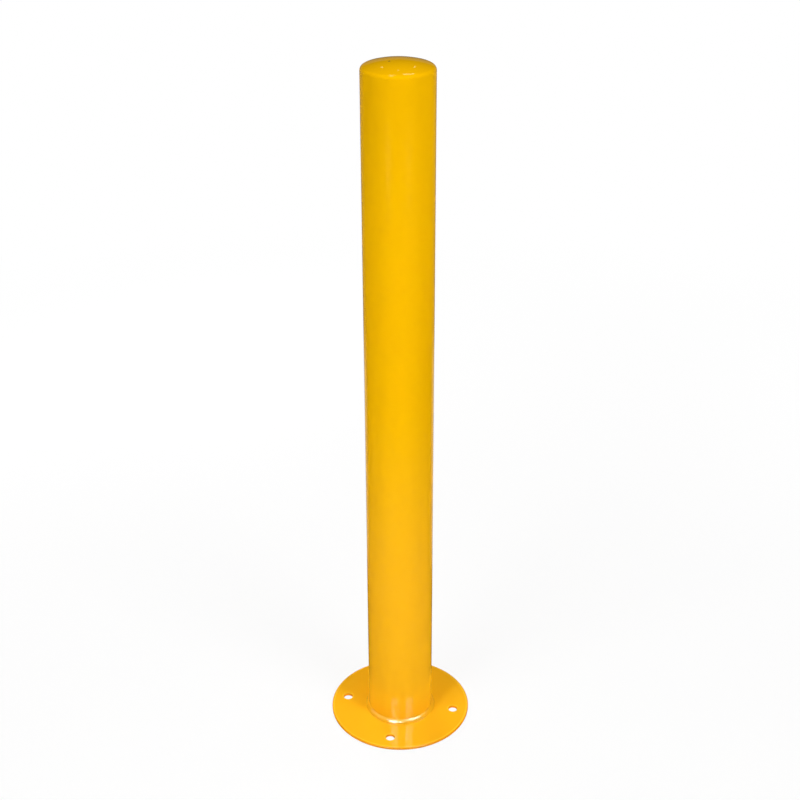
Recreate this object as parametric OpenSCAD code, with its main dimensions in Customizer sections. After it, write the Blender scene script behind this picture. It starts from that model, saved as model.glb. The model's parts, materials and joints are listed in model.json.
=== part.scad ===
// Safety bollard: a round steel post with a dished cap, welded upright on a round base plate
// that bolts to the floor. One rigid fabrication, powder coated as a whole.
// Millimetres. The origin is the centre of the base plate's underside and +Z runs up the post.
// With four bolt holes they lie on the X and Y axes.

/* [Post] */
// Outside diameter of the tube, the cap and the weld that joins them
tube_od = 114.3; // [100:0.1:140]
// Wall thickness of the tube
tube_wall = 3; // [2.5:0.1:5]
// Height of the whole bollard, from the floor to the top of the cap
post_h = 1200; // [600:1:1500]

/* [Cap] */
// Wall thickness of the pressed cap
cap_wall = 3; // [2.5:0.1:4]
// Height of the dish above the line where its side turns straight
dish_h = 14.8; // [13:0.1:24]
// Outside radius of the knuckle between the crown and the straight skirt
knuckle_r = 7; // [6:0.1:11]
// Length of the straight skirt below the knuckle
skirt_h = 22; // [14:0.5:50]

/* [Base plate] */
// Diameter of the base plate
plate_d = 250; // [232:1:320]
// Thickness of the base plate
plate_t = 5; // [4:0.5:12]
// Radius of the rounded upper and lower edges of the plate's rim
rim_r = 1.5; // [0.5:0.1:1.9]
// Diameter of the drain hole in the middle of the plate, under the tube
drain_d = 60; // [20:1:80]

/* [Bolt holes] */
// Number of bolt holes
bolt_n = 4; // [3:1:8]
// Diameter of the circle through the bolt holes' centres
bolt_pcd = 196; // [170:1:215]
// Diameter of each bolt hole
bolt_d = 16; // [10:0.5:18]
// Radius of the rounded upper and lower edges of each bolt hole
bolt_edge_r = 0.8; // [0.3:0.1:1]

/* [Cap joint] */
// Gap between the tube's end and the cap's skirt, which the weld fills
root_gap = 1.5; // [1:0.1:3]
// Thickness of the square face left at the inside of each bevelled end
root_face = 1; // [0.5:0.1:2]
// Angle of each bevel from a square cut
bevel_angle = 30; // [15:1:40]
// How far the weld's root stands proud inside the tube
root_bead_h = 0.8; // [0.3:0.1:1.5]
// Width of the root bead inside the tube
root_bead_w = 4; // [3.5:0.1:6]

/* [Foot weld] */
// Leg of the fillet weld along the plate
weld_leg_plate = 5.5; // [4:0.1:8]
// Leg of the fillet weld up the tube
weld_leg_tube = 7.5; // [4:0.1:9]
// How far the bead's face bulges beyond a flat one
weld_crown = 0.8; // [0.3:0.1:1.5]
// Length of one ripple along the joint
ripple_pitch = 5; // [4:0.1:9]
// Height of one ripple
ripple_h = 0.3; // [0.1:0.05:0.6]
// How far the middle of a ripple trails behind its two toes
ripple_bow = 3; // [0:0.1:5]
// How far the legs swell and shrink along the joint
weld_wander = 0.5; // [0:0.05:0.8]
// Height of the lump where the bead's end laps over its start
weld_lap_h = 0.7; // [0:0.05:1]
// Length of that lump along the joint
weld_lap_l = 14; // [6:0.5:24]

/* [Hidden] */
$fn = 96;

coat = "#FBBE12";

// How far a cutting shape reaches past the face that it opens
over = 1;

tube_r = tube_od / 2;
tube_bore_r = tube_r - tube_wall;
cap_bore_r = tube_r - cap_wall;

// Heights of the dish's lower line, the skirt's end and the tube's end
skirt_top_z = post_h - dish_h;
skirt_end_z = skirt_top_z - skirt_h;
tube_end_z = skirt_end_z - root_gap;

// The crown arc meets the knuckle arc on a shared tangent and peaks dish_h above the skirt,
// which fixes its radius.
knuckle_x = tube_r - knuckle_r;
crown_r = (pow(knuckle_x, 2) + pow(dish_h, 2) - pow(knuckle_r, 2)) / (2 * (dish_h - knuckle_r));

// Height lost at the outside of an end that is bevelled down to its root face
function bevel_drop(wall) = (wall - root_face) * tan(bevel_angle);

// Half section of the dish and its skirt, filled. An inset moves every line inwards by as much,
// with both arcs kept on their own centres, and the skirt is drawn down by depth.
module dish_section(inset, depth) {
    join_x = knuckle_x * (crown_r - inset) / (crown_r - knuckle_r);
    intersection() {
        translate([0, post_h - crown_r]) circle(crown_r - inset);
        translate([0, skirt_top_z]) square([join_x, dish_h]);
    }
    translate([knuckle_x, skirt_top_z]) circle(knuckle_r - inset);
    translate([0, skirt_top_z - depth]) square([tube_r - inset, depth]);
}

// Half section of the cap's wall, with the skirt's end bevelled for the weld
module cap_section() {
    face_r = cap_bore_r + root_face;
    difference() {
        dish_section(0, skirt_h);
        dish_section(cap_wall, skirt_h + over);
        polygon([
            [face_r, skirt_end_z - over],
            [face_r, skirt_end_z],
            [tube_r + over, skirt_end_z + bevel_drop(cap_wall + over)],
            [tube_r + over, skirt_end_z - over]
        ]);
    }
}

// Half section of the tube's wall, square at the foot and bevelled at the top
module tube_section() {
    polygon([
        [tube_bore_r, plate_t],
        [tube_r, plate_t],
        [tube_r, tube_end_z - bevel_drop(tube_wall)],
        [tube_bore_r + root_face, tube_end_z],
        [tube_bore_r, tube_end_z]
    ]);
}

// Half section of the butt weld: the groove between both bevels, dressed flush outside, and a
// round root bead that laps over both walls inside
module cap_weld_section() {
    groove_z = tube_end_z - bevel_drop(tube_wall);
    groove_h = root_gap + bevel_drop(tube_wall) + bevel_drop(cap_wall);
    root_r = max(tube_bore_r, cap_bore_r);
    bead_r = (pow(root_bead_w / 2, 2) + pow(root_bead_h, 2)) / (2 * root_bead_h);
    root_z = tube_end_z + root_gap / 2;
    difference() {
        union() {
            translate([root_r, groove_z]) square([tube_r - root_r, groove_h]);
            intersection() {
                translate([root_r - root_bead_h + bead_r, root_z]) circle(bead_r);
                translate([root_r - root_bead_h, root_z - root_bead_w])
                    square([root_bead_h + root_face, 2 * root_bead_w]);
            }
        }
        tube_section();
        cap_section();
    }
}

// Half section of the base plate, from the drain hole to the rounded rim
module plate_section() {
    plate_r = plate_d / 2;
    difference() {
        union() {
            square([plate_r - rim_r, plate_t]);
            translate([0, rim_r]) square([plate_r, plate_t - 2 * rim_r]);
            for (edge_z = [rim_r, plate_t - rim_r])
                translate([plate_r - rim_r, edge_z]) circle(rim_r);
        }
        translate([0, -over]) square([drain_d / 2, plate_t + 2 * over]);
    }
}

// What a bolt hole takes out of the plate: a straight bore that opens over a rounded edge at
// each face
module bolt_hole() {
    bolt_r = bolt_d / 2;
    rotate_extrude() {
        translate([0, -over]) square([bolt_r, plate_t + 2 * over]);
        for (side = [0, 1])
            translate([bolt_r, side * (plate_t - bolt_edge_r)])
                difference() {
                    square(bolt_edge_r);
                    translate([bolt_edge_r, (1 - side) * bolt_edge_r]) circle(bolt_edge_r);
                }
    }
}

// The fillet weld at the foot is one closed sweep round the tube. Its rings stand ring_step
// degrees apart, five to a ripple, and each ring has weld_cuts steps across the bead's face.
weld_cuts = 6;
ring_points = weld_cuts + 2;
ripple_n = round(2 * PI * (tube_r + weld_leg_plate / 2) / ripple_pitch);
ring_n = 5 * ripple_n;
ring_step = 360 / ring_n;

// Straight facets between rings touch the round tube at their middles
seat_r = tube_r / cos(ring_step / 2);

// Slow swelling of the bead, from -1 to 1, in whole waves so that the ring closes
function wander(a) = (sin(3 * a + 20) + 0.6 * sin(8 * a + 140) + 0.4 * sin(17 * a + 250)) / 2;

// Height of the ripples at angle a and at s across the face, from the plate's toe at 0 to the
// tube's toe at 1: rounded crests with sharp valleys, their middles trailing behind
function ripple(a, s) =
    ripple_h * abs(sin(180 * (a / 360 * ripple_n + 4 * s * (1 - s) * ripple_bow / ripple_pitch)));

// Height of the lap at the back of the post, fading to nothing along the joint
function lap(a) = weld_lap_h * exp(-pow((a - 90) * PI / 180 * tube_r / (weld_lap_l / 2), 2));

// Point k of the ring at angle a: the corner under the tube first, then across the face
function weld_point(a, k) =
    let (
        s = max(0, k - 1) / weld_cuts,
        leg_p = weld_leg_plate + weld_wander * wander(a) + ripple(a, 0),
        leg_t = weld_leg_tube + weld_wander * wander(a + 137) + ripple(a, 1),
        bulge = 4 * s * (1 - s) * (weld_crown + ripple(a, s) + lap(a)) / sqrt(2),
        r = k == 0 ? seat_r : seat_r + leg_p * (1 - s) + bulge,
        z = k == 0 ? plate_t : plate_t + leg_t * s + bulge
    )
    [r * cos(a), r * sin(a), z];

// Index of point k on ring i, both counted round their closed loops
function weld_index(i, k) = (i % ring_n) * ring_points + k % ring_points;

module base_plate() {
    color(coat)
        difference() {
            rotate_extrude() plate_section();
            for (i = [0 : bolt_n - 1])
                rotate(i * 360 / bolt_n) translate([bolt_pcd / 2, 0]) bolt_hole();
        }
}

module post_tube() {
    color(coat) rotate_extrude() tube_section();
}

module domed_cap() {
    color(coat) rotate_extrude() cap_section();
}

module cap_weld() {
    color(coat) rotate_extrude() cap_weld_section();
}

module foot_weld() {
    points = [
        for (i = [0 : ring_n - 1], k = [0 : ring_points - 1]) weld_point(i * ring_step, k)
    ];
    faces = [
        for (i = [0 : ring_n - 1], k = [0 : ring_points - 1])
            let (
                near = weld_index(i, k),
                near_up = weld_index(i, k + 1),
                far = weld_index(i + 1, k),
                far_up = weld_index(i + 1, k + 1)
            )
            each [[near, near_up, far_up], [near, far_up, far]]
    ];
    color(coat) polyhedron(points, faces);
}

base_plate();
post_tube();
domed_cap();
cap_weld();
foot_weld();
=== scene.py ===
"""Safety bollard: the finish of every surface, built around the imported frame.

Metres, with +Z up the post and the origin at the centre of the base plate's underside.
"""

import json
import math

import bmesh
import bpy
import numpy as np
from mathutils import Matrix, Vector


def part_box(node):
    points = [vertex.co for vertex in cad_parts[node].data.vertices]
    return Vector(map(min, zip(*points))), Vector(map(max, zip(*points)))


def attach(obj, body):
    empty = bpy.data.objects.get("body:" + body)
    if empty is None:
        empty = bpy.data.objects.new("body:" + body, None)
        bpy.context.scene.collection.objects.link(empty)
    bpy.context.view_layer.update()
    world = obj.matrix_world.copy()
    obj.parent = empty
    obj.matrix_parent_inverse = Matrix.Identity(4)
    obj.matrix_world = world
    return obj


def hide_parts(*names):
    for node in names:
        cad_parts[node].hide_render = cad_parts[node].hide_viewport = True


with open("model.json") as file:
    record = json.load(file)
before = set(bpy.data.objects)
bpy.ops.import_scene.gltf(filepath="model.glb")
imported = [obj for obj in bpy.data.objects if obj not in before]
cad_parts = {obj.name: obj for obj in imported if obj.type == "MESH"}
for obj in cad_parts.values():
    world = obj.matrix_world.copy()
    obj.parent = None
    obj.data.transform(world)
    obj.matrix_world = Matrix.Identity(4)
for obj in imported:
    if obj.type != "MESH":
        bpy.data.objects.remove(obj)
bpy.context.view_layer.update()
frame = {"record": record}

BODY = "root"
MM = 0.001
TURN = 2 * math.pi

# Sizes of the pieces, read from the frame
plate_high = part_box("base_plate")[1]
tube_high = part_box("post_tube")[1]
cap_low, cap_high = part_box("domed_cap")
mounts = {mount["name"]: mount for mount in frame["record"]["mounts"]}
bolts = mounts["floor_bolts"]["dims"]

plate_r = plate_high.x
plate_t = plate_high.z
tube_r = tube_high.x
tube_end_z = tube_high.z
skirt_end_z = cap_low.z
post_h = cap_high.z
bolt_n = bolts["count"]
bolt_ring_r = bolts["pcd_mm"] / 2 * MM
bolt_r = bolts["hole_r_mm"] * MM

# Sizes that the frame's boxes don't give
wall = 3 * MM
rim_r = 1.5 * MM
bolt_edge_r = 0.8 * MM
drain_r = 30 * MM
dish_h = 14.8 * MM
knuckle_r = 7 * MM
root_face = 1 * MM
bevel_angle = math.radians(30)
root_bead_h = 0.8 * MM
root_bead_w = 4 * MM

# A small pit in the cap's coat
pit_x = -12.4 * MM
pit_y = -5.8 * MM
pit_r = 1.9 * MM
pit_depth = 0.7 * MM

# Sizes that follow from the others
bore_r = tube_r - wall
face_r = bore_r + root_face
skirt_top_z = post_h - dish_h
knuckle_x = tube_r - knuckle_r
crown_r = (knuckle_x**2 + dish_h**2 - knuckle_r**2) / (2 * (dish_h - knuckle_r))
crown_z = post_h - crown_r
bevel_drop = (wall - root_face) * math.tan(bevel_angle)
tube_side_end_z = tube_end_z - bevel_drop
cap_side_end_z = skirt_end_z + bevel_drop


# Camera

PHOTO_SIZE = 800
SENSOR = 36.0

camera_azimuth = math.radians(10.57)
camera_distance = 2.1366
camera_height = 1.7630
camera_pitch = math.radians(27.81)
camera_aside = 0.0013
camera_roll = -0.0031
focal_pixels = 1467.6

# Directions from the camera: level and away from it through the post, to its right, and up
away = Vector((-math.sin(camera_azimuth), math.cos(camera_azimuth), 0))
aside = Vector((math.cos(camera_azimuth), math.sin(camera_azimuth), 0))
upward = Vector((0, 0, 1))


def set_up(name, data, right, up, back, place):
    """Adds a camera or lamp at its place, with its own axes along three directions."""
    made = bpy.data.objects.new(name, data)
    rows = [(right[i], up[i], back[i], place[i]) for i in range(3)]
    made.matrix_world = Matrix(rows + [(0, 0, 0, 1)])
    bpy.context.scene.collection.objects.link(made)
    return made


def make_camera():
    """The camera looks down at the post from a little to its right, with no shift and no blur."""
    look = away * math.cos(camera_pitch) - upward * math.sin(camera_pitch)
    level_up = aside.cross(look)
    right = aside * math.cos(camera_roll) + level_up * math.sin(camera_roll)
    up = level_up * math.cos(camera_roll) - aside * math.sin(camera_roll)
    place = aside * camera_aside - away * camera_distance + upward * camera_height
    data = bpy.data.cameras.new("camera")
    data.sensor_width = SENSOR
    data.lens = focal_pixels * SENSOR / PHOTO_SIZE
    bpy.context.scene.camera = set_up("camera", data, right, up, -look, place)


# Meshes from grids of points

MERGE_DISTANCE = 0.0005 * MM
POST_STEPS = 512
post_angles = np.arange(POST_STEPS) * TURN / POST_STEPS


def grid_faces(rows, cols, wrap_rows, wrap_cols):
    """Quads between the points of a grid that is numbered row by row."""
    i = np.arange(rows if wrap_rows else rows - 1)[:, None]
    j = np.arange(cols if wrap_cols else cols - 1)[None, :]
    i_next = (i + 1) % rows
    j_next = (j + 1) % cols
    corners = [i * cols + j, i * cols + j_next, i_next * cols + j_next, i_next * cols + j]
    return np.stack(corners, axis=-1).reshape(-1, 4)


def coated_piece(name, node, grids, finishes, bare=None, sharp_angle=35):
    """One closed mesh from grids of points, each given as (points, wrap_rows, wrap_cols).

    Points that coincide are merged, which closes seams and poles, and faces are turned outwards.
    Where bare is given, it is true for each face that takes the second finish.
    """
    points = []
    faces = []
    start = 0
    for surface, wrap_rows, wrap_cols in grids:
        rows, cols = surface.shape[:2]
        points.append(surface.reshape(-1, 3))
        faces.append(grid_faces(rows, cols, wrap_rows, wrap_cols) + start)
        start += rows * cols
    mesh = bpy.data.meshes.new(name)
    mesh.from_pydata(np.concatenate(points), [], np.concatenate(faces).tolist())
    for finish in finishes:
        mesh.materials.append(finish)
    if bare is not None:
        mesh.polygons.foreach_set("material_index", bare.astype(np.int32))
    shaped = bmesh.new()
    shaped.from_mesh(mesh)
    bmesh.ops.remove_doubles(shaped, verts=shaped.verts, dist=MERGE_DISTANCE)
    bmesh.ops.recalc_face_normals(shaped, faces=shaped.faces)
    shaped.to_mesh(mesh)
    shaped.free()
    mesh.shade_smooth()
    mesh.set_sharp_from_angle(angle=math.radians(sharp_angle))
    piece = bpy.data.objects.new(name, mesh)
    bpy.context.scene.collection.objects.link(piece)
    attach(piece, BODY)
    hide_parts(node)


def lined_shell(name, node, surface, coated_rows, closed, finishes):
    """A turned piece that is coated over its first rows of faces and bare over the rest."""
    rows, cols = surface.shape[:2]
    face_rows = np.arange(rows if closed else rows - 1)
    bare = np.repeat(face_rows >= coated_rows, cols)
    coated_piece(name, node, [(surface, closed, True)], finishes, bare)


def line(start, end, count):
    """Points spread evenly from start to end of a half section, both ends included."""
    return np.linspace(start, end, count)


def arc(centre, radius, start, end, count):
    """Points on a circle of a half section, from one angle to another, in radians."""
    angle = np.linspace(start, end, count)
    return np.stack([centre[0] + radius * np.cos(angle), centre[1] + radius * np.sin(angle)], -1)


def section(*runs):
    """Runs of points joined end to end, where a point that two of them share is kept once."""
    points = np.concatenate(runs)
    to_next = np.linalg.norm(np.roll(points, -1, axis=0) - points, axis=1)
    return points[to_next > MERGE_DISTANCE]


def turned(profile, angle):
    """Half section points (r, z) turned about the post: (r cos a, r sin a, z) for angles a."""
    r, z = profile[:, 0, None], profile[:, 1, None]
    return np.stack([r * np.cos(angle), r * np.sin(angle), z + 0 * angle], -1)


def at_height(points, z):
    """Level points (x, y) that are given their height."""
    return np.concatenate([points, np.broadcast_to(z, points.shape[:-1] + (1,))], -1)


# Shader maths


class Value:
    """A socket of a finish. Its operators add Math nodes, with numbers on either side."""

    def __init__(self, finish, socket):
        self.finish = finish
        self.socket = socket

    def maths(self, operation, *values):
        """A Math node on two values, in their order."""
        return self.finish.node("ShaderNodeMath", {"operation": operation}, dict(enumerate(values)))

    def __add__(self, other):
        return self.maths("ADD", self, other)

    __radd__ = __add__

    def __rsub__(self, other):
        return self.maths("SUBTRACT", other, self)

    def __mul__(self, other):
        return self.maths("MULTIPLY", self, other)

    __rmul__ = __mul__


class Finish:
    """A new material or world, and the one method that adds a node to it."""

    def __init__(self, owner):
        self.owner = owner
        owner.use_nodes = True
        self.tree = owner.node_tree
        self.tree.nodes.clear()

    def node(self, kind, settings=None, sockets=None, output=0):
        """Adds a node, sets it, then gives its sockets their values or links."""
        made = self.tree.nodes.new(kind)
        for name, setting in (settings or {}).items():
            setattr(made, name, setting)
        for key, value in (sockets or {}).items():
            if isinstance(value, Value):
                self.tree.links.new(value.socket, made.inputs[key])
            else:
                made.inputs[key].default_value = value
        return Value(self, made.outputs[output]) if len(made.outputs) else None

    def place(self):
        """Where a point of the piece is, in metres."""
        return self.node("ShaderNodeTexCoord", output="Object")

    def height(self):
        """How high a point of the piece is, in metres."""
        return self.node("ShaderNodeSeparateXYZ", {}, {0: self.place()}, output="Z")

    def vectors(self, operation, first, second, output="Value"):
        """Maths on two vectors, whose result is a number unless output is Vector."""
        return self.node("ShaderNodeVectorMath", {"operation": operation}, {0: first, 1: second}, output)

    def noise(self, length, detail):
        """Noise from 0 to 1 whose lumps are about one length across."""
        sockets = {"Vector": self.place(), "Scale": 1 / length, "Detail": detail}
        return self.node("ShaderNodeTexNoise", {}, sockets)

    def between(self, value, low, high, out_low=0.0, out_high=1.0):
        """A smooth step from out_low at low to out_high at high."""
        settings = {"interpolation_type": "SMOOTHSTEP"}
        sockets = {"Value": value, "From Min": low, "From Max": high}
        sockets.update({"To Min": out_low, "To Max": out_high})
        return self.node("ShaderNodeMapRange", settings, sockets)

    def mix(self, factor, first, second):
        """A colour between two colours."""
        sockets = {0: factor, 6: first, 7: second}
        return self.node("ShaderNodeMix", {"data_type": "RGBA"}, sockets, output=2)

    def bump(self, height, distance, under=None):
        """Normals of a height from 0 to 1 that stands for a real distance."""
        sockets = {"Height": height, "Distance": distance, "Strength": 1.0}
        if under:
            sockets["Normal"] = under
        return self.node("ShaderNodeBump", {}, sockets)

    def seen(self):
        """1 for what the camera sees, straight or in gloss or glass, and 0 for the rest."""
        camera, glossy, through = (
            self.node("ShaderNodeLightPath", output=ray)
            for ray in ("Is Camera Ray", "Is Glossy Ray", "Is Transmission Ray")
        )
        return camera + glossy + through

    def principled(self, sockets):
        """Ends a material with the plain shader of a solid surface."""
        return self.surface(self.node("ShaderNodeBsdfPrincipled", {}, sockets))

    def surface(self, shader, output="ShaderNodeOutputMaterial"):
        """Ends the material or world with its shader, and gives it back."""
        self.node(output, {}, {"Surface": shader})
        return self.owner


def colour(red, green, blue):
    """A colour for a socket, from plain linear values."""
    return (red, green, blue, 1.0)


# Finishes

# The coat's colour up the post, with painted light in its foot and painted shade in its darker
# middle, and the heights between which it changes
LIT_FOOT_YELLOW = colour(0.985, 0.486, 0.012)
SHADED_MIDDLE_YELLOW = colour(0.897, 0.468, 0.0004)
TOP_YELLOW = colour(0.945, 0.500, 0.0004)
FOOT_TO_MIDDLE = (0.22, 0.68)
MIDDLE_TO_TOP = (0.68, 1.02)

# Its faint mottle, and how rough it is where it is smoothest and dullest
MOTTLE_YELLOW = colour(0.95, 0.43, 0.003)
MOTTLE_SHARE = 0.10
MOTTLE_LENGTH = 35 * MM
GLOSS = (0.04, 0.07)
GLOSS_LENGTH = 18 * MM

# Its slow waviness and the orange peel on it
WAVE_LENGTH = 30 * MM
WAVE_H = 0.02 * MM
PEEL_LENGTH = 1.6 * MM
PEEL_H = 0.002 * MM

# A paler band beside the plate's rim and holes and painted shade on their rounded edges, each
# with the two offsets outwards from the rim or the hole between which it sets in or ends
PALE_BAND_YELLOW = colour(0.99, 0.56, 0.030)
EDGE_SHADE_YELLOW = colour(0.92, 0.36, 0.001)
THIN_ROUGHENING = 0.15
RIM_PALE_BAND = (-5.0 * MM, -3.2 * MM)
RIM_SHADED_EDGE = (-2.0 * MM, -1.2 * MM)
HOLE_PALE_BAND = (1.8 * MM, 3.2 * MM)
HOLE_SHADED_EDGE = (0.2 * MM, 0.8 * MM)

# Painted shade in the bottom of the cap's pit
PIT_SHADE_BROWN = colour(0.22, 0.14, 0.005)
PIT_ROUGHENING = 0.2
PIT_FADE = (1.6 * MM, 2.8 * MM)

# Steel in its mill finish, inside the tube
DARK_SCALE = colour(0.16, 0.15, 0.145)
LIGHT_SCALE = colour(0.33, 0.32, 0.31)
SCALE_LENGTH = 6 * MM
STEEL_ROUGHNESS = (0.4, 0.6)
STEEL_GRAIN_LENGTH = 1.2 * MM
STEEL_GRAIN_H = 0.03 * MM


def powder_coat(name, marks=None):
    """Glossy yellow powder coat: a fine orange peel over a slow waviness, and a faint mottle.

    Its colour holds painted light at the foot and painted shade at mid-height. marks gives rows of
    (mask, colour, roughening) for a paler band and for painted shade on edges and in a pit.
    """
    coat = Finish(bpy.data.materials.new(name))
    height = coat.height()
    # Painted light at the foot and painted shade at mid-height, blended by height
    tone = coat.mix(coat.between(height, *FOOT_TO_MIDDLE), LIT_FOOT_YELLOW, SHADED_MIDDLE_YELLOW)
    tone = coat.mix(coat.between(height, *MIDDLE_TO_TOP), tone, TOP_YELLOW)
    mottle = coat.between(coat.noise(MOTTLE_LENGTH, 3.0), 0.3, 0.7, 0.0, MOTTLE_SHARE)
    tone = coat.mix(mottle, tone, MOTTLE_YELLOW)
    gloss = coat.between(coat.noise(GLOSS_LENGTH, 2.0), 0.25, 0.75, *GLOSS)
    for mask, shade, roughening in marks(coat) if marks else []:
        tone = coat.mix(mask, tone, shade)
        gloss = gloss + mask * roughening
    wave = coat.bump(coat.noise(WAVE_LENGTH, 0.0), WAVE_H)
    peel = coat.bump(coat.noise(PEEL_LENGTH, 1.0), PEEL_H, under=wave)
    return coat.principled({"Base Color": tone, "Roughness": gloss, "Normal": peel})


def bare_steel():
    """Mill finish inside the tube, where the coat doesn't reach."""
    steel = Finish(bpy.data.materials.new("bare_steel"))
    scale = steel.noise(SCALE_LENGTH, 4.0)
    return steel.principled({
        "Base Color": steel.mix(scale, DARK_SCALE, LIGHT_SCALE),
        "Metallic": 0.9,
        "Roughness": steel.between(scale, 0.2, 0.8, *STEEL_ROUGHNESS),
        "Normal": steel.bump(steel.noise(STEEL_GRAIN_LENGTH, 2.0), STEEL_GRAIN_H),
    })


def plate_edges(coat):
    """A paler band beside the plate's rim and holes, and painted shade on their edges, which are
    rougher.
    """
    level = coat.vectors("MULTIPLY", coat.place(), (1, 1, 0), "Vector")

    def band(reach, edge, offsets):
        """A smooth step over two offsets from an edge, at a level distance from a centre."""
        return coat.between(reach, edge + offsets[0], edge + offsets[1])

    reach = coat.vectors("DISTANCE", level, (0, 0, 0))
    # Painted shade on the rounded rim and in the holes' mouths, and a paler band beside them
    pale_band = band(reach, plate_r, RIM_PALE_BAND)
    shaded_rough_edge = band(reach, plate_r, RIM_SHADED_EDGE)
    for k in range(bolt_n):
        turn = TURN * k / bolt_n
        centre = (bolt_ring_r * math.cos(turn), bolt_ring_r * math.sin(turn), 0)
        reach = coat.vectors("DISTANCE", level, centre)
        pale_band = pale_band + (1 - band(reach, bolt_r, HOLE_PALE_BAND))
        shaded_rough_edge = shaded_rough_edge + (1 - band(reach, bolt_r, HOLE_SHADED_EDGE))
    return [(pale_band, PALE_BAND_YELLOW, 0.0), (shaded_rough_edge, EDGE_SHADE_YELLOW, THIN_ROUGHENING)]


def cap_pit(coat):
    """The rougher bottom of the small pit in the cap, darkened with painted shade."""
    reach = coat.vectors("DISTANCE", coat.place(), (pit_x, pit_y, post_h))
    return [(1 - coat.between(reach, *PIT_FADE), PIT_SHADE_BROWN, PIT_ROUGHENING)]


# Pieces


def tube_shell(coat, steel):
    """The tube turned from its half section: square at the foot, bevelled to a root face on top."""
    side = line((tube_r, plate_t), (tube_r, tube_side_end_z), 48)
    profile = section(
        side,
        line((tube_r, tube_side_end_z), (face_r, tube_end_z), 3),
        line((face_r, tube_end_z), (bore_r, tube_end_z), 3),
        line((bore_r, tube_end_z), (bore_r, plate_t), 24),
        line((bore_r, plate_t), (tube_r, plate_t), 3),
    )
    surface = turned(profile, post_angles)
    lined_shell("tube_shell", "post_tube", surface, len(side) - 1, True, [coat, steel])


def cap_line(inset, crown_steps, knuckle_steps):
    """The dish's half section, inset from its outside: the crown's arc, then the knuckle's."""
    join = math.atan2(skirt_top_z - crown_z, knuckle_x)
    return section(
        arc((0, crown_z), crown_r - inset, math.pi / 2, join, crown_steps),
        arc((knuckle_x, skirt_top_z), knuckle_r - inset, join, 0, knuckle_steps),
    )


def cap_shell(coat, steel):
    """The pressed cap turned from its half section, both sides of its wall.

    Its outside sinks by depth exp(-(d / r)^2) at a distance d from the middle of a small pit.
    """
    dish = cap_line(0, 104, 26)
    outside = section(dish, line((tube_r, skirt_top_z), (tube_r, cap_side_end_z), 16))
    profile = section(
        outside,
        line((tube_r, cap_side_end_z), (face_r, skirt_end_z), 3),
        line((face_r, skirt_end_z), (bore_r, skirt_end_z), 3),
        line((bore_r, skirt_end_z), (bore_r, skirt_top_z), 6),
        cap_line(wall, 24, 12)[::-1],
    )
    surface = turned(profile, post_angles)
    dished = surface[: len(dish)]
    off = np.hypot(dished[:, :, 0] - pit_x, dished[:, :, 1] - pit_y)
    dished[:, :, 2] -= pit_depth * np.exp(-((off / pit_r) ** 2))
    lined_shell("cap_shell", "domed_cap", surface, len(outside) - 1, False, [coat, steel])


def cap_joint(coat, steel):
    """The butt weld turned from its half section: flush outside, a round root bead inside."""
    root_z = (tube_end_z + skirt_end_z) / 2
    bead_r = ((root_bead_w / 2) ** 2 + root_bead_h**2) / (2 * root_bead_h)
    bead_x = bore_r - root_bead_h + bead_r
    half = math.asin(root_bead_w / 2 / bead_r)
    side = line((tube_r, tube_side_end_z), (tube_r, cap_side_end_z), 6)
    profile = section(
        side,
        line((tube_r, cap_side_end_z), (face_r, skirt_end_z), 3),
        line((face_r, skirt_end_z), (bore_r, skirt_end_z), 2),
        arc((bead_x, root_z), bead_r, math.pi - half, math.pi + half, 12),
        line((bore_r, tube_end_z), (face_r, tube_end_z), 2),
        line((face_r, tube_end_z), (tube_r, tube_side_end_z), 3),
    )
    surface = turned(profile, post_angles)
    lined_shell("cap_joint", "cap_weld", surface, len(side) - 1, True, [coat, steel])


def plate_side(face_end_r, step, radius):
    """Half section of a side of the plate, from its upper face down to its lower one.

    Both edges are rounded to a radius. step is 1 where the side faces out and -1 in a hole.
    """
    turn = np.linspace(0, math.pi / 2, 7)
    side_r = face_end_r + step * radius
    upper = np.stack([
        face_end_r + step * radius * np.sin(turn),
        plate_t - radius * (1 - np.cos(turn)),
    ], -1)
    lower = np.stack([upper[::-1, 0], plate_t - upper[::-1, 1]], -1)
    return section(upper, line((side_r, plate_t - radius), (side_r, radius), 4), lower)


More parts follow.
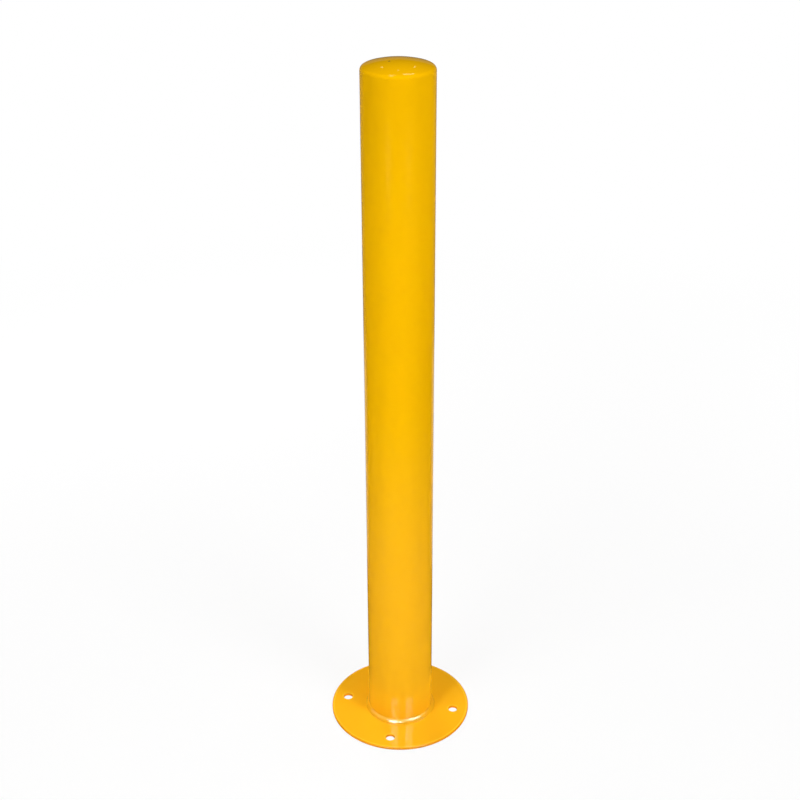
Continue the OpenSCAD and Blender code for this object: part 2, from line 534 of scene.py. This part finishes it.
def plate_body(coat):
    """The base plate: one grid round each hole, P(u, v) = (1 - u) hole(v) + u edge(v).

    edge(v) runs round the hole's own share of the plate: along the rim, in along a radius, back
    along the drain hole and out along the other radius. hole(v) lies in the same direction from
    the hole's centre, on its edge.
    """
    flat_r = plate_r - rim_r
    mouth_r = bolt_r + bolt_edge_r
    half_share = math.pi / bolt_n
    across = np.linspace(-half_share, half_share, 97)
    inward = np.linspace(flat_r, drain_r, 33)
    back = np.linspace(half_share, -half_share, 49)
    radius, angle = np.concatenate([
        [0 * across + flat_r, across],
        [inward[1:], 0 * inward[1:] + half_share],
        [0 * back[1:] + drain_r, back[1:]],
        [inward[-2:0:-1], 0 * inward[-2:0:-1] - half_share],
    ], axis=1)
    edge = np.stack([radius * np.cos(angle), radius * np.sin(angle)], -1)
    centre = np.array([bolt_ring_r, 0.0])
    toward = edge - centre
    toward /= np.linalg.norm(toward, axis=1)[:, None]
    u = np.linspace(0, 1, 25)[:, None, None]
    flat = (1 - u) * (centre + mouth_r * toward) + u * edge

    rim = plate_side(flat_r, 1, rim_r)
    mouth = plate_side(mouth_r, -1, bolt_edge_r)
    hole = centre + mouth[:, 0, None, None] * toward
    drain = line((drain_r, plate_t), (drain_r, 0), 4)
    grids = []
    for k in range(bolt_n):
        turn = TURN * k / bolt_n
        spin = np.array([[math.cos(turn), math.sin(turn)], [-math.sin(turn), math.cos(turn)]])
        grids += [
            (at_height(flat @ spin, plate_t), False, True),
            (at_height(flat @ spin, 0.0), False, True),
            (turned(rim, across + turn), False, False),
            (at_height(hole @ spin, mouth[:, 1, None, None]), False, True),
            (turned(drain, back + turn), False, False),
        ]
    coated_piece("plate_body", "base_plate", grids, [coat])


# The foot weld: its legs, its bulge, and how its legs wander
weld_leg_plate = 5.5 * MM
weld_leg_tube = 7.5 * MM
weld_crown = 0.8 * MM
weld_wander = 0.5 * MM

# Its ripples, its uneven lumps, and the lap at the back where its end runs over its start
ripple_pitch = 5 * MM
ripple_h = 0.20 * MM
ripple_bow = 3 * MM
lump_h = 0.14 * MM
lap_h = 0.7 * MM
lap_length = 14 * MM
lap_angle = math.radians(90)

# The groove between two passes, with its place and half width as shares of the bead's face
groove_h = 0.30 * MM
groove_angle = math.radians(-25)
groove_half_turn = math.radians(32)
groove_place = 0.45
groove_half_width = 0.13

# How softly the coat runs out over both toes, and how far the section goes past them
toe_blend = 0.5 * MM
past_toe = 0.3

RIPPLE_STEPS = 16
FACE_STEPS = 37
ripple_n = round(TURN * (tube_r + weld_leg_plate / 2) / ripple_pitch)
bead_steps = ripple_n * RIPPLE_STEPS


def foot_bead(coat):
    """The rippled fillet bead, a section carried round the foot, its ripples filled by the coat.

    At angle a and at s across the face, from the plate's toe at 0 to the tube's toe at 1, the
    flat face is (leg (1 - s), leg s) from the corner. It bulges on both axes by
    4 s (1 - s) (crown + ripple + lumps + lap - groove) / sqrt(2). A ripple is a rounded wave
    along the joint with its middle trailing, lumps are waves of 8 to 16 mm that turn across the
    face, and the groove between two passes runs along the right of the post. Past both toes each
    coordinate c fades to nothing as (c + sqrt(c^2 + b^2)) / 2.
    """
    a = np.arange(bead_steps)[:, None] * TURN / bead_steps
    s = np.linspace(-past_toe, 1 + past_toe, FACE_STEPS)[None, :]
    within = np.clip(s, 0, 1)

    def wander(angle):
        """Slow swelling of a leg, in whole waves so that the ring closes."""
        waves = ((3, 1.0, 0.35), (8, 0.6, 2.44), (17, 0.4, 4.36))
        swell = sum(share * np.sin(count * angle + phase) for count, share, phase in waves)
        return weld_wander * swell / 2

    def ripple(across):
        """Height of the ripples at a share of the way across the face."""
        trail = 4 * across * (1 - across) * ripple_bow / ripple_pitch
        uneven = 0.35 * np.sin(7 * a + 1.0) + 0.2 * np.sin(16 * a)
        return ripple_h * (1 - np.cos(TURN * (a / TURN * ripple_n + trail + uneven))) / 2

    def faded(coordinate):
        """A coordinate that fades to nothing where it would turn negative."""
        return (coordinate + np.sqrt(coordinate**2 + toe_blend**2)) / 2

    lumps = lump_h * (
        np.sin(23 * a + 2.0 * within + 0.9)
        + 0.8 * np.sin(37 * a - 3.0 * within + 1.9)
        + 0.6 * np.sin(46 * a + 4.0 * within + 5.1)
    ) / 2
    lap = lap_h * np.exp(-(((a - lap_angle) * tube_r / (lap_length / 2)) ** 2))
    along = np.angle(np.exp(1j * (a - groove_angle))) / groove_half_turn
    aside_of_groove = (within - groove_place) / groove_half_width
    groove = groove_h * np.exp(-(along**4)) * np.exp(-(aside_of_groove**2))
    bulge = 4 * s * (1 - s) * (weld_crown + ripple(within) + lumps + lap - groove) / math.sqrt(2)
    leg_plate = weld_leg_plate + wander(a) + ripple(0)
    leg_tube = weld_leg_tube + wander(a + math.radians(137)) + ripple(1)
    out = faded(leg_plate * (1 - s) + bulge)
    up = faded(leg_tube * s + bulge)
    corner = np.zeros_like(a)
    r = tube_r + np.concatenate([corner, out, corner], 1)
    z = plate_t + np.concatenate([corner, up, corner], 1)
    surface = np.stack([r * np.cos(a), r * np.sin(a), z], -1)
    coated_piece("foot_bead", "foot_weld", [(surface, True, True)], [coat], sharp_angle=80)


# Stage and light

WHITE = colour(1, 1, 1)
FLOOR_GREY = colour(0.85, 0.85, 0.85)
FLOOR_HALF = 30.0

# The share of plain white in the floor under the post and far from it, and where it changes
FLOOR_WHITE = (0.88, 1.0)
FLOOR_FADE = (0.3, 2.5)

# The room that the gloss mirrors: its radius, its wall, and its backdrop, with the distances
# behind the post and the heights between which the backdrop fades in, fades out or dims
ROOM_R = 12.0
ROOM_DARK = colour(0.005, 0.005, 0.005)
BACKDROP_PALE = colour(1, 0.97, 0.92)
BACKDROP_AWAY = (6.5, 10.0)
BACKDROP_FOOT = (-6.7, -6.2)
BACKDROP_TOP = (3.4, 4.2)
BACKDROP_DIMMING = (-4.9, -4.3)
BACKDROP_GLOW = (0.50, 0.11)

GLINT_YELLOW = (1, 1, 0.7)
GLINT_DISTANCE = 2.0


def on_stage(name, mesh, finish):
    """A thing of the stage, which isn't part of the object."""
    mesh.materials.append(finish)
    made = bpy.data.objects.new(name, mesh)
    bpy.context.scene.collection.objects.link(made)
    return made


def lit_floor():
    """A plain pale floor, white to the camera, that keeps most of the post's soft shadow.

    Reflections leave it out and show the dim room instead.
    """
    floor = Finish(bpy.data.materials.new("pale_floor"))
    reach = floor.vectors("DISTANCE", floor.place(), (0, 0, 0))
    share = floor.seen() * floor.between(reach, *FLOOR_FADE, *FLOOR_WHITE)
    plain = floor.node("ShaderNodeBsdfDiffuse", {}, {"Color": FLOOR_GREY})
    white = floor.node("ShaderNodeEmission", {}, {"Color": WHITE, "Strength": 1.0})
    finish = floor.surface(floor.node("ShaderNodeMixShader", {}, {0: share, 1: plain, 2: white}))
    mesh = bpy.data.meshes.new("floor")
    corners = [(x * FLOOR_HALF, y * FLOOR_HALF, 0) for x, y in ((-1, -1), (1, -1), (1, 1), (-1, 1))]
    mesh.from_pydata(corners, [], [(0, 1, 2, 3)])
    on_stage("floor", mesh, finish).visible_glossy = False


def white_world():
    """White where the background is seen, and no light elsewhere."""
    world = Finish(bpy.data.worlds.new("world"))
    strength = world.between(world.seen(), 0.0, 1.0)
    background = world.node("ShaderNodeBackground", {}, {"Color": WHITE, "Strength": strength})
    bpy.context.scene.world = world.surface(background, "ShaderNodeOutputWorld")


def dim_room():
    """The dim studio that the gloss mirrors: a sphere that only reflections see.

    It is nearly dark, with a pale backdrop behind the post that glows most near its foot.
    """
    room = Finish(bpy.data.materials.new("dim_room"))
    height = room.height()
    behind = room.vectors("DOT_PRODUCT", room.place(), away)
    backdrop = room.between(behind, *BACKDROP_AWAY) * room.between(height, *BACKDROP_FOOT)
    backdrop = backdrop * (1 - room.between(height, *BACKDROP_TOP))
    glow = room.between(height, *BACKDROP_DIMMING, *BACKDROP_GLOW) * backdrop
    tone = room.mix(glow, ROOM_DARK, BACKDROP_PALE)
    finish = room.surface(room.node("ShaderNodeEmission", {}, {"Color": tone, "Strength": 1.0}))
    mesh = bpy.data.meshes.new("dim_room")
    ball = bmesh.new()
    bmesh.ops.create_uvsphere(ball, u_segments=32, v_segments=16, radius=ROOM_R)
    ball.to_mesh(mesh)
    ball.free()
    made = on_stage("dim_room", mesh, finish)
    for ray in ("camera", "diffuse", "transmission", "volume_scatter", "shadow"):
        setattr(made, "visible_" + ray, False)


def studio_point(azimuth, distance, height):
    """A point of the studio. Azimuth 0 is the camera's side and positive to its right."""
    turn = math.radians(azimuth)
    out = aside * math.sin(turn) - away * math.cos(turn)
    return out * distance + upward * height


def lamp(name, place, up, aim, size, radiance, glossy, shape="RECTANGLE", tint=(1, 1, 1)):
    """A flat lamp at place whose tall side follows up, turned to face aim as far as that allows.

    Its power is pi area radiance. It lights matt surfaces, or else shows only in reflections.
    """
    data = bpy.data.lights.new(name, "AREA")
    data.shape = shape
    data.size, data.size_y = size
    data.energy = math.pi * data.size * data.size_y * radiance
    data.color = tint
    right = up.cross(place - aim).normalized()
    back = right.cross(up).normalized()
    made = set_up(name, data, right, back.cross(right), back, place)
    made.visible_camera = False
    made.visible_diffuse = not glossy
    made.visible_glossy = glossy
    return made


def soft_box(name, place, aim, side, radiance):
    """A square lamp for matt surfaces that faces aim squarely."""
    back = place - aim
    up = back.cross(upward.cross(back)).normalized()
    return lamp(name, place, up, aim, (side, side), radiance, False)


def card(name, low, high, aim, width, radiance, **look):
    """A lamp that shows only in the gloss, spanning from its low end to its high end."""
    span = high - low
    size = (width, span.length)
    return lamp(name, (low + high) / 2, span.normalized(), aim, size, radiance, True, **look)


def without(made, *names):
    """Leaves some pieces out of what a lamp lights."""
    receivers = bpy.data.collections.new(made.name + "_receivers")
    for name in names:
        receivers.objects.link(bpy.data.objects[name])
    for kept_out in receivers.collection_objects:
        kept_out.light_linking.link_state = "EXCLUDE"
    made.light_linking.receiver_collection = receivers


def soft_light():
    """Soft boxes round the post: high and front ones, low fills behind, small ones for the foot.

    The last two, close to the floor, light only the tube's lowest part.
    """
    middle = upward * post_h / 2
    for name, azimuth, distance, height, radiance in (
        ("high_left", -45, 1.49, 2.73, 12.0),
        ("high_right", 45, 1.49, 2.73, 7.7),
        ("front_right", 45, 2.2, 1.87, 7.3),
        ("back_left", -125, 2.2, 0.75, 5.0),
        ("back_right", 125, 2.2, 0.60, 6.0),
        ("back", -165, 2.2, 0.91, 10.0),
    ):
        soft_box(name, studio_point(azimuth, distance, height), middle, 0.9, radiance)
    for name, azimuth, radiance in (("foot_left", -30, 9.8), ("foot_right", 30, 4.2)):
        soft_box(name, studio_point(azimuth, 0.9, 0.75), Vector((0, 0, 0)), 0.3, radiance)
    low_z = 0.09
    for name, azimuth in (("low_left", -60), ("low_right", 60)):
        made = soft_box(name, studio_point(azimuth, 0.45, low_z), upward * low_z, 0.12, 2.9)
        without(made, "plate_body", "foot_bead", "floor")


def foot_cards():
    """Cards that the foot mirrors: two bright strips, dim panels, and bright ones for the bead."""
    foot = upward * plate_t
    for name, azimuth, width in (("strip_left", -20.5, 0.83), ("strip_right", 32.5, 0.86)):
        low = studio_point(azimuth, 2.12, 1.48)
        high = studio_point(azimuth, 1.60, 2.05)
        without(card(name, low, high, foot, width, 20), "cap_shell", "cap_joint", "foot_bead")
    for name, azimuth, radiance in (
        ("side_left", -85, 0.7),
        ("side_right", 85, 0.6),
        ("side_front", 0, 1.2),
    ):
        low = studio_point(azimuth, 1.2, 1.2)
        high = studio_point(azimuth, 0.8, 1.8)
        without(card(name, low, high, foot, 1.0, radiance), "cap_shell", "cap_joint", "tube_shell")
    # Each end is given as its distance and its height
    for name, azimuth, low, high, width, radiance in (
        ("bead_left", -19.5, (2.4, 1.10), (1.8, 1.75), 1.52, 34),
        ("bead_right", 53.5, (2.0, 1.45), (1.8, 1.80), 1.86, 60),
        ("bead_far_left", -85, (1.8, 0.40), (1.0, 1.80), 1.8, 1.1),
        ("bead_far_right", 85, (1.8, 0.90), (1.4, 1.60), 1.6, 1.2),
    ):
        ends = studio_point(azimuth, *low), studio_point(azimuth, *high)
        made = card(name, *ends, foot, width, radiance)
        without(made, "cap_shell", "cap_joint", "tube_shell", "plate_body")


def glint(name, spot, low, high, width, radiance, shape="RECTANGLE"):
    """A pale yellow card mirrored at a spot of the cap.

    Its ends lie in two directions from there, each with its parts to the right, front and up.
    """
    spot = Vector(spot)
    ends = [
        spot + GLINT_DISTANCE * (aside * right - away * front + upward * up).normalized()
        for right, front, up in (low, high)
    ]
    card(name, *ends, spot, width, radiance, shape=shape, tint=GLINT_YELLOW)


def cap_glints():
    """Cards that the cap mirrors: a short glint on its shoulder and three dots on its crown."""
    left = (0, -0.052, 1.191)
    right = (0.023, -0.045, 1.1925)
    glint("glint_left", left, (-0.24, 0.434, 0.863), (-0.05, -0.62, 0.78), 0.17, 2.0)
    glint("glint_right", right, (0.12, -0.615, 0.78), (0.12, -0.67, 0.73), 0.30, 2.4, "ELLIPSE")
    glint("glint_peak", right, (0.145, -0.59, 0.80), (0.145, -0.69, 0.71), 0.08, 4.0, "ELLIPSE")
    for name, spot, low, high, radiance in (
        ("dot_left", (-0.0187, -0.0295, 1.1964), (-0.12, -0.83, 0.545), (-0.12, -0.86, 0.496), 1.8),
        ("dot_middle", (0.0073, -0.0391, 1.1953), (0.001, -0.73, 0.683), (0.001, -0.76, 0.65), 1.0),
        ("dot_right", (0.0282, -0.0200, 1.1965), (0.12, -0.837, 0.534), (0.12, -0.867, 0.484), 1.8),
    ):
        glint(name, spot, low, high, 0.022, radiance)


make_camera()
yellow = powder_coat("yellow_coat")
plate_yellow = powder_coat("yellow_coat_plate", plate_edges)
cap_yellow = powder_coat("yellow_coat_cap", cap_pit)
steel = bare_steel()

tube_shell(yellow, steel)
cap_shell(cap_yellow, steel)
cap_joint(yellow, steel)
plate_body(plate_yellow)
foot_bead(yellow)

lit_floor()
white_world()
soft_light()
foot_cards()
cap_glints()
dim_room()

bpy.context.scene.view_settings.view_transform = "Standard"
